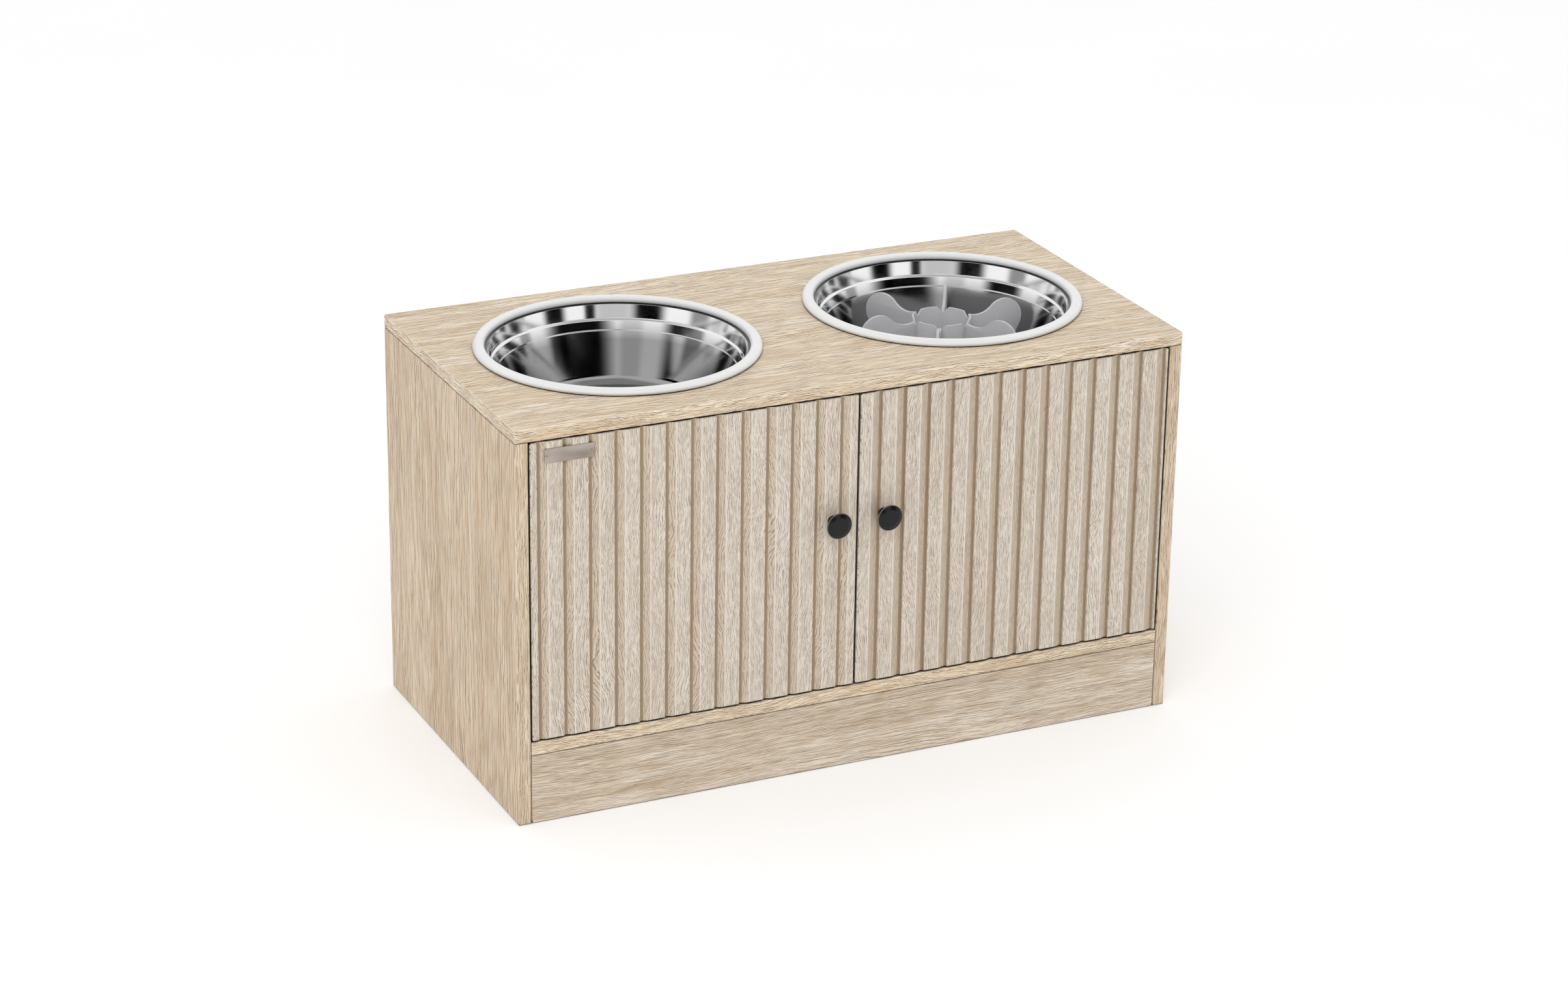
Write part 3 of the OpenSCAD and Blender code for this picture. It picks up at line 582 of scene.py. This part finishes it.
def roundCorners(points, radii, steps):
    rounded = []
    for i, point in enumerate(points):
        here = Vector(point)
        if i not in radii:
            rounded.append(here)
            continue
        radius = radii[i]
        back = (Vector(points[i - 1]) - here).normalized()
        ahead = (Vector(points[(i + 1) % len(points)]) - here).normalized()
        half = back.angle(ahead) / 2
        run = radius / math.tan(half)
        centre = here + (back + ahead).normalized() * radius / math.sin(half)
        start, end = here + back * run - centre, here + ahead * run - centre
        sweep = start.angle_signed(end)
        for k in range(steps + 1):
            rounded.append(centre + Matrix.Rotation(-sweep * k / steps, 2) @ start)
    return rounded


def turned(name, profile, centre, segments, material, axis="Z"):
    rings, verts, faces = [], [], []
    for r, h in profile:
        count = 1 if r < 1e-7 else segments
        ring = []
        for k in range(count):
            a = 2 * math.pi * k / segments
            x, y = r * math.cos(a), r * math.sin(a)
            ring.append(len(verts))
            verts.append((x, y, h) if axis == "Z" else (x, -h, y))
        rings.append(ring)
    for low, high in zip(rings, rings[1:]):
        for k in range(segments):
            quad = [low[k % len(low)], low[(k + 1) % len(low)],
                    high[(k + 1) % len(high)], high[k % len(high)]]
            faces.append(list(dict.fromkeys(quad)))
    made = meshObject(name, verts, [f for f in faces if len(f) > 2], material, smooth=True)
    made.data.transform(Matrix.Translation(centre))
    made.data.update()
    return made


def faceOut(made):
    shape = bmesh.new()
    shape.from_mesh(made.data)
    bmesh.ops.recalc_face_normals(shape, faces=shape.faces)
    shape.to_mesh(made.data)
    shape.free()


def slab(name, outline, depths, material):
    count = len(outline)
    verts = [(x, y, z) for y in depths for x, z in outline]
    faces = [list(range(count)), list(range(2 * count - 1, count - 1, -1))]
    faces += [(k, k + count, (k + 1) % count + count, (k + 1) % count) for k in range(count)]
    made = meshObject(name, verts, faces, material)
    faceOut(made)
    return made


def applyModifiers(made):
    depsgraph = bpy.context.evaluated_depsgraph_get()
    finished = bpy.data.meshes.new_from_object(made.evaluated_get(depsgraph))
    made.modifiers.clear()
    made.data = finished


# pressed steel bowls with a rolled rim and stepped walls

bowlShape = {
    "rimWidth": 10.5 * mm,
    "rimHeight": 6.0 * mm,
    "rimShoulder": 2.2 * mm,  # height of the rim's widest line, below which it turns under
    "rimUnder": 1.3 * mm,
    "rimGap": 0.02 * mm,
    "rimSquare": 0.62,  # below 1, the rim is fuller than round toward the bowl
    "steel": 0.8 * mm,
    "depth": 68 * mm,
    "ledge": 1.8 * mm,
    "ledgeDrop": 1.0 * mm,
    "ledgeHeight": 0.6 * mm,
    "ledgeRadius": 0.4 * mm,
    "bandHeights": (12.5 * mm, 7.6 * mm),
    "bandDraw": 3.0 * mm,
    "stepWidths": (2.0 * mm, 0.8 * mm),
    "stepHeights": (1.4 * mm, 1.0 * mm),
    "lowerDraw": 16.2 * mm,
    "floorFillet": 12 * mm,
    "stepRadius": 1.3 * mm,
    "segments": 192,
}

steelFinish = {  # heights from the top of the board
    "wallTones": (srgb(238, 238, 238), srgb(246, 246, 246)),
    # painted shade: the steel darkens deeper in the bowl
    "deepShadeTone": srgb(158, 158, 159),
    "deepShadeSpan": (-12 * mm, -30 * mm),
    "footShadowTone": srgb(112, 114, 116),  # painted contact shadow where the rim meets the board
    "footShadowSpan": (0.2 * mm, 3.2 * mm, 0.62, 0.0),
    "footStart": -0.1 * mm,
    "creaseShadeTone": srgb(30, 30, 32),  # painted shade: a thin dark line in the crease inside the rim
    "creasePlace": 0.25 * mm,
    "creaseShadeSpan": (0.68 * mm, 0.52 * mm, 0.0, 0.95),
    "rimSpan": (0.6 * mm, 1.6 * mm),
    "rimRoughness": 0.40,  # added to the wall's
    "rimMetallic": 0.3,
    "roughness": (0.085, 0.115),
    "cloud": (60, 60, 60),
    "drawLines": (90, 90, 2200),
    "drawRelief": (0.004 * mm, 0.05),
}


def steelMaterial(boardTop):
    s = steelFinish
    material, tree, shader = newMaterial("polishedSteel", Metallic=1.0)
    place = textureCoords(tree)["Object"]
    height = calc(tree, "SUBTRACT", axes(tree, place)["Z"], boardTop)
    onRim = remap(tree, height, *s["rimSpan"])
    cloud = noise(tree, place, s["cloud"], 3, 0.55)
    color = mixColor(tree, cloud, *s["wallTones"])
    # painted shade deeper in the bowl
    color = mixColor(tree, remap(tree, height, *s["deepShadeSpan"]), color, s["deepShadeTone"])
    # painted contact shadow on the rim's foot, above the board
    aboveBoard = calc(tree, "GREATER_THAN", height, s["footStart"])
    foot = product(tree, remap(tree, height, *s["footShadowSpan"]), aboveBoard)
    color = mixColor(tree, foot, color, s["footShadowTone"])
    # painted shade in the crease inside the rim
    creaseShade = remap(tree, distance(tree, height, s["creasePlace"]), *s["creaseShadeSpan"])
    tree.links.new(mixColor(tree, creaseShade, color, s["creaseShadeTone"]), shader.inputs["Base Color"])
    rough = overNoise(tree, cloud, *s["roughness"])
    rough = calc(tree, "MULTIPLY_ADD", onRim, s["rimRoughness"], rough)
    tree.links.new(rough, shader.inputs["Roughness"])
    tree.links.new(remap(tree, onRim, 0, 1, 1.0, s["rimMetallic"]), shader.inputs["Metallic"])
    bump(tree, shader, noise(tree, place, s["drawLines"]), *s["drawRelief"])
    return material


def bowlProfile(mouth, s):
    bandTop, middleTop = s["bandHeights"]
    (upperStep, lowerStep), (upperDrop, lowerDrop) = s["stepWidths"], s["stepHeights"]
    leg = s["rimHeight"] - s["rimWidth"] / 2
    upperR = mouth - s["ledge"]
    upperZ = leg - s["ledgeDrop"]
    middleR = upperR - s["bandDraw"] - upperStep
    middleZ = upperZ - bandTop - upperDrop
    lowerR = middleR - s["bandDraw"] - lowerStep
    lowerZ = middleZ - middleTop - lowerDrop
    floorR = lowerR - s["lowerDraw"]
    wall = [(0, -s["depth"]), (floorR, -s["depth"]),
            (lowerR, lowerZ), (lowerR + lowerStep, middleZ - middleTop),
            (middleR, middleZ), (middleR + upperStep, upperZ - bandTop),
            (upperR, upperZ), (mouth, upperZ + s["ledgeHeight"]), (mouth, leg)]
    corners = {1: s["floorFillet"], **{i: s["stepRadius"] for i in (2, 3, 4, 5)},
               6: s["ledgeRadius"], 7: s["ledgeRadius"]}
    path = roundCorners(wall, corners, 8)

    roll, square, shoulder, under = s["rimWidth"] / 2, s["rimSquare"], s["rimShoulder"], s["rimUnder"]
    middle, rise = mouth + roll, s["rimHeight"] - shoulder
    for k in range(1, 16):  # up the inside of the rim
        a = math.pi * k / 32
        path.append(Vector((middle - roll * math.cos(a) ** square, leg + roll * math.sin(a) ** square)))
    path.append(Vector((middle, leg + roll)))
    for k in range(1, 15):  # down the outside to its widest line
        a = math.pi / 2 * (1 - k / 14)
        path.append(Vector((middle + roll * math.cos(a), shoulder + rise * math.sin(a))))
    for k in range(1, 7):  # and under, to just above the board
        a = math.pi / 2 * k / 6
        path.append(Vector((middle + roll - under + under * math.cos(a),
                            shoulder - (shoulder - s["rimGap"]) * math.sin(a))))
    return path


def makeBowl(name, node, body, steel):
    low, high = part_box(node)
    s = bowlShape
    mouth = (high.x - low.x) / 2 - s["rimWidth"]
    centre = Vector(((low.x + high.x) / 2, (low.y + high.y) / 2, high.z - s["rimHeight"]))
    bowl = turned(name, bowlProfile(mouth, s), centre, s["segments"], steel)
    solid = bowl.modifiers.new("steel", "SOLIDIFY")
    solid.thickness = s["steel"]
    solid.offset = 1.0
    applyModifiers(bowl)
    bowl.data.shade_smooth()
    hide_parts(node)
    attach(bowl, body)
    return centre


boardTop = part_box("top_board")[1].z
steel = steelMaterial(boardTop)
makeBowl("waterBowl", "water_bowl", "water_bowl", steel)
foodCentre = makeBowl("foodBowl", "food_bowl", "food_bowl", steel)
report("bowls turned")


# slow-feed insert: six fins with a round lobe and a saddle, a notched hub and a thin base

insertShape = {
    "finCount": 6,
    "finThickness": 2.5 * mm,
    "finDrop": 6 * mm,
    "lobeReach": 64 * mm,
    "lobeRadius": 18 * mm,
    "saddleReach": 36 * mm,
    "saddleDepth": 12 * mm,
    "footReach": 62 * mm,
    "tipGap": 1.5 * mm,  # from the ring to the end of the saddle
    "rootDrop": 1 * mm,  # how far below its notch the fin meets the ring
    "hubRadius": 27 * mm,
    "hubWall": 1.5 * mm,
    "hubRise": 3 * mm,
    "hubNotch": 5.5 * mm,
    "hubSegments": 240,
    "baseThickness": 1.5 * mm,
    "baseRadius": 78.4 * mm,
    "baseSegments": 128,
    "edgeRadius": 0.45 * mm,
    "edgeAngle": 40,  # degrees, sharper edges than this are eased
    "smoothAngle": 38,
    "tones": (srgb(188, 188, 190), srgb(198, 198, 200)),
    "cloud": (400, 400, 400),
    "roughness": (0.28, 0.36),
    "grain": (2500, 2500, 2500),
    "relief": (0.02 * mm, 0.4),
}


def satinPlastic(s):
    material, tree, shader = newMaterial("satinGreyPlastic")
    place = textureCoords(tree)["Object"]
    cloud = noise(tree, place, s["cloud"], 3, 0.6)
    tree.links.new(mixColor(tree, cloud, *s["tones"]), shader.inputs["Base Color"])
    tree.links.new(overNoise(tree, cloud, *s["roughness"]), shader.inputs["Roughness"])
    bump(tree, shader, noise(tree, place, s["grain"]), *s["relief"])
    return material


def arc(centre, radius, start, end, steps):
    turns = (start + (end - start) * k / steps for k in range(steps + 1))
    return [(centre[0] + radius * math.cos(a), centre[1] + radius * math.sin(a)) for a in turns]


def finOutline(s, depth):
    lobeZ = depth - s["finDrop"] - s["lobeRadius"]
    saddleZ = depth - s["finDrop"] - s["saddleDepth"]
    run = s["lobeReach"] - s["saddleReach"]
    lobe, sink = s["lobeRadius"], s["saddleDepth"]
    saddleR = (run ** 2 + (lobe - sink) ** 2 - lobe ** 2) / (2 * sink)
    footX = s["footReach"] - s["lobeReach"]
    leave = math.atan2(-lobeZ, footX) + math.acos(lobe / math.hypot(footX, lobeZ))
    meet = math.atan2(saddleR + lobe - sink, -run)
    tipX = s["hubRadius"] + s["tipGap"]
    tip = -math.pi / 2 - math.asin((s["saddleReach"] - tipX) / saddleR)
    rootX, rootZ = s["hubRadius"] - s["hubWall"] / 2, s["baseThickness"] / 2
    hubTop = saddleZ + s["hubRise"]
    return ([(rootX, rootZ), (s["footReach"], rootZ)]
            + arc((s["lobeReach"], lobeZ), lobe, leave, meet, 40)
            + arc((s["saddleReach"], saddleZ + saddleR), saddleR, meet - math.pi, tip, 16)
            + [(rootX, hubTop - s["hubNotch"] - s["rootDrop"])])


def makeFin(name, outline, s, turn, material):
    half = s["finThickness"] / 2
    fin = slab(name, outline, (-half, half), material)
    fin.data.transform(Matrix.Rotation(turn, 4, "Z"))
    return fin


def makeHub(name, s, hubTop, material):
    steps = s["hubSegments"]
    outer, inner, base = s["hubRadius"], s["hubRadius"] - s["hubWall"], s["baseThickness"] / 2
    verts, faces = [], []
    pitch = 2 * math.pi / s["finCount"]
    for k in range(steps):
        a = 2 * math.pi * k / steps
        off = abs((a + pitch / 2) % pitch - pitch / 2) * outer
        top = hubTop - max(0.0, s["hubNotch"] - off)
        for r, z in ((outer, base), (outer, top), (inner, top), (inner, base)):
            verts.append((r * math.cos(a), r * math.sin(a), z))
    for k in range(steps):
        here, there = 4 * k, 4 * ((k + 1) % steps)
        faces += [(here + j, there + j, there + (j + 1) % 4, here + (j + 1) % 4) for j in range(4)]
    hub = meshObject(name, verts, faces, material)
    faceOut(hub)
    return hub


def joinSolids(main, others):
    for other in others:
        union = main.modifiers.new("union", "BOOLEAN")
        union.operation = "UNION"
        union.solver = "EXACT"
        union.object = other
    applyModifiers(main)
    for other in others:
        bpy.data.objects.remove(other)


def makeInsert(centre, floorZ):
    s = insertShape
    plastic = satinPlastic(s)
    depth = boardTop - floorZ
    hubTop = depth - s["finDrop"] - s["saddleDepth"] + s["hubRise"]
    r, t, e = s["baseRadius"], s["baseThickness"], s["edgeRadius"]
    rim = roundCorners([(0, 0), (r, 0), (r, t), (0, t)], {1: e, 2: e}, 4)
    base = turned("slowFeedInsert", rim, Vector((0, 0, 0)), s["baseSegments"], plastic)
    faceOut(base)
    outline = finOutline(s, depth)
    pitch = 2 * math.pi / s["finCount"]
    parts = [makeFin(f"fin{k}", outline, s, k * pitch, plastic) for k in range(s["finCount"])]
    parts.append(makeHub("hub", s, hubTop, plastic))
    joinSolids(base, parts)
    soft = base.modifiers.new("softEdge", "BEVEL")
    soft.width = s["edgeRadius"]
    soft.segments = 2
    soft.limit_method = "ANGLE"
    soft.angle_limit = math.radians(s["edgeAngle"])
    soft.use_clamp_overlap = True
    applyModifiers(base)
    base.data.transform(Matrix.Translation((centre.x, centre.y, floorZ)))
    base.data.shade_smooth()
    base.data.set_sharp_from_angle(angle=math.radians(s["smoothAngle"]))
    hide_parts("slow_feed_insert")
    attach(base, "slow_feed_insert")


makeInsert(foodCentre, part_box("slow_feed_insert")[0].z)
report("insert made")


# turned knobs in black gloss

knobShape = {
    "faceRadius": 12 * mm,
    "reach": 16 * mm,
    "disc": 3.4 * mm,
    "bevel": 0.6 * mm,
    "backBevel": 1.2 * mm,
    "neckRadius": 4 * mm,
    "footRadius": 4.75 * mm,
    "footHeight": 1.2 * mm,
    "flare": 2.3 * mm,
    "crown": 1.35 * mm,
    "flatRadius": 7.8 * mm,
    "flatDip": 0.05 * mm,  # from the middle of the face to the edge of its flat part
    "footRound": 0.3 * mm,
    "neckRound": 1.2 * mm,
    "discRound": 0.4 * mm,
    "bevelRound": 0.15 * mm,
    "faceRound": 6 * mm,
    "segments": 96,
}

glossFinish = {
    "tones": (srgb(16, 16, 16), srgb(22, 22, 22)),
    "bevelHighlightTone": srgb(100, 100, 100),  # painted highlight: the bevel round the face is made paler
    "edgeFacing": 0.7,
    "bevelHighlightSpan": (0.18, 0.12),
    "bevelHighlightDepth": 2.4 * mm,  # the painted highlight lies within this much of the knob's front
    "cloud": (350, 350, 350),
    "specular": 0.26,
    "roughness": (0.14, 0.22),
    "relief": (0.01 * mm, 0.3),
}


def blackGloss(frontY):
    g = glossFinish
    material, tree, shader = newMaterial("blackGloss", **{"Specular IOR Level": g["specular"]})
    coords = textureCoords(tree)
    cloud = noise(tree, coords["Object"], g["cloud"], 3, 0.6)
    ahead = calc(tree, "ABSOLUTE", axes(tree, coords["Normal"])["Y"])
    onEdge = remap(tree, distance(tree, ahead, g["edgeFacing"]), *g["bevelHighlightSpan"])
    atFront = calc(tree, "LESS_THAN", axes(tree, coords["Object"])["Y"], frontY + g["bevelHighlightDepth"])
    color = mixColor(tree, cloud, *g["tones"])
    # painted highlight on the bevel round the face
    color = mixColor(tree, product(tree, onEdge, atFront), color, g["bevelHighlightTone"])
    tree.links.new(color, shader.inputs["Base Color"])
    tree.links.new(overNoise(tree, cloud, *g["roughness"]), shader.inputs["Roughness"])
    bump(tree, shader, cloud, *g["relief"])
    return material


def makeKnob(name, node, body, gloss):
    s = knobShape
    low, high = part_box(node)
    r, neck, foot, reach = s["faceRadius"], s["neckRadius"], s["footRadius"], s["reach"]
    discBack, back, bevelFront = reach - s["disc"], s["backBevel"], reach - s["crown"]
    corners = [  # radius, distance from the door and rounding
        (0, 0, 0), (foot, 0, s["footRound"]), (foot, s["footHeight"], s["footRound"]),
        (neck, s["footHeight"] + s["flare"], s["neckRound"]), (neck, discBack - back, s["discRound"]),
        (neck + back, discBack, s["discRound"]), (r - back, discBack, s["discRound"]),
        (r, discBack + back, s["discRound"]), (r, bevelFront - s["bevel"], s["bevelRound"]),
        (r - s["bevel"], bevelFront, s["bevelRound"]),
        (s["flatRadius"], reach - s["flatDip"], s["faceRound"]), (0, reach, 0)]
    outline = [corner[:2] for corner in corners]
    soft = {i: corner[2] for i, corner in enumerate(corners) if corner[2]}
    centre = Vector(((low.x + high.x) / 2, high.y, (low.z + high.z) / 2))
    knob = turned(name, roundCorners(outline, soft, 5), centre, s["segments"], gloss, axis="Y")
    faceOut(knob)
    knob.data.shade_smooth()
    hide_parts(node)
    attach(knob, body)


gloss = blackGloss(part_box("left_door_knob")[0].y)
makeKnob("leftKnob", "left_door_knob", "left_door", gloss)
makeKnob("rightKnob", "right_door_knob", "right_door", gloss)
report("knobs turned")


# bare metal nameplate near the upper hinge corner of the left door, held by two small pins

plateShape = {
    "fromHinge": 13.0 * mm,
    "fromTop": 6.4 * mm,
    "width": 45 * mm,
    "height": 13 * mm,
    "thickness": 0.7 * mm,
    "corner": 0.6 * mm,
    "bevel": 0.15 * mm,
    "tones": (srgb(148, 136, 126), srgb(184, 173, 164)),
    "sheen": (30, 30, 60),
    "sheenSpan": (0.35, 0.65),
    "brushLines": (120, 900, 5200),
    "roughness": (0.30, 0.48),
    "relief": (0.02 * mm, 0.6),
    "pinInset": 2.2 * mm,
    "pinRadius": 0.75 * mm,
    "pinDepth": 0.9 * mm,
    "pinDome": 0.7,  # the head's height over its radius
    "pinSegments": 24,
    "pinTones": (srgb(176, 140, 84), srgb(196, 160, 100)),
}


def brushedPlate(s):
    material, tree, shader = newMaterial("brushedPlate", Metallic=1.0)
    place = textureCoords(tree)["Object"]
    brush = noise(tree, place, s["brushLines"], 3, 0.6)
    sheen = remap(tree, noise(tree, place, s["sheen"], 1), *s["sheenSpan"])
    tree.links.new(mixColor(tree, sheen, *s["tones"]), shader.inputs["Base Color"])
    tree.links.new(overNoise(tree, brush, *s["roughness"]), shader.inputs["Roughness"])
    bump(tree, shader, brush, *s["relief"])
    return material


def makePlate():
    s = plateShape
    x0, y0, z1 = leftLow.x + s["fromHinge"], leftLow.y, leftHigh.z - s["fromTop"]
    w, h = s["width"], s["height"]
    outline = roundCorners([(0, 0), (w, 0), (w, -h), (0, -h)], {i: s["corner"] for i in range(4)}, 4)
    plate = slab("nameplate", outline, (0, -s["thickness"]), brushedPlate(s))
    plate.data.transform(Matrix.Translation((x0, y0, z1)))
    soft = plate.modifiers.new("softEdge", "BEVEL")
    soft.width = s["bevel"]
    soft.segments = 2
    applyModifiers(plate)
    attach(plate, "left_door")

    brass = speckled("brassPin", s["pinTones"], 800, 0.3, 1.0)
    r, depth, dome = s["pinRadius"], s["pinDepth"], s["pinDome"]
    head = [(a, dome * b) for a, b in arc((0, 0), r, 0, math.pi / 2, 6)[:-1]]
    profile = [(0, -depth), (r, -depth), *head, (0, dome * dome * r)]  # the middle is dished a little
    for side, x in (("Left", s["pinInset"]), ("Right", w - s["pinInset"])):
        centre = Vector((x0 + x, y0 - s["thickness"], z1 - h / 2))
        pin = turned("platePin" + side, profile, centre, s["pinSegments"], brass, axis="Y")
        faceOut(pin)
        pin.data.shade_smooth()
        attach(pin, "left_door")


makePlate()
report("nameplate fixed")
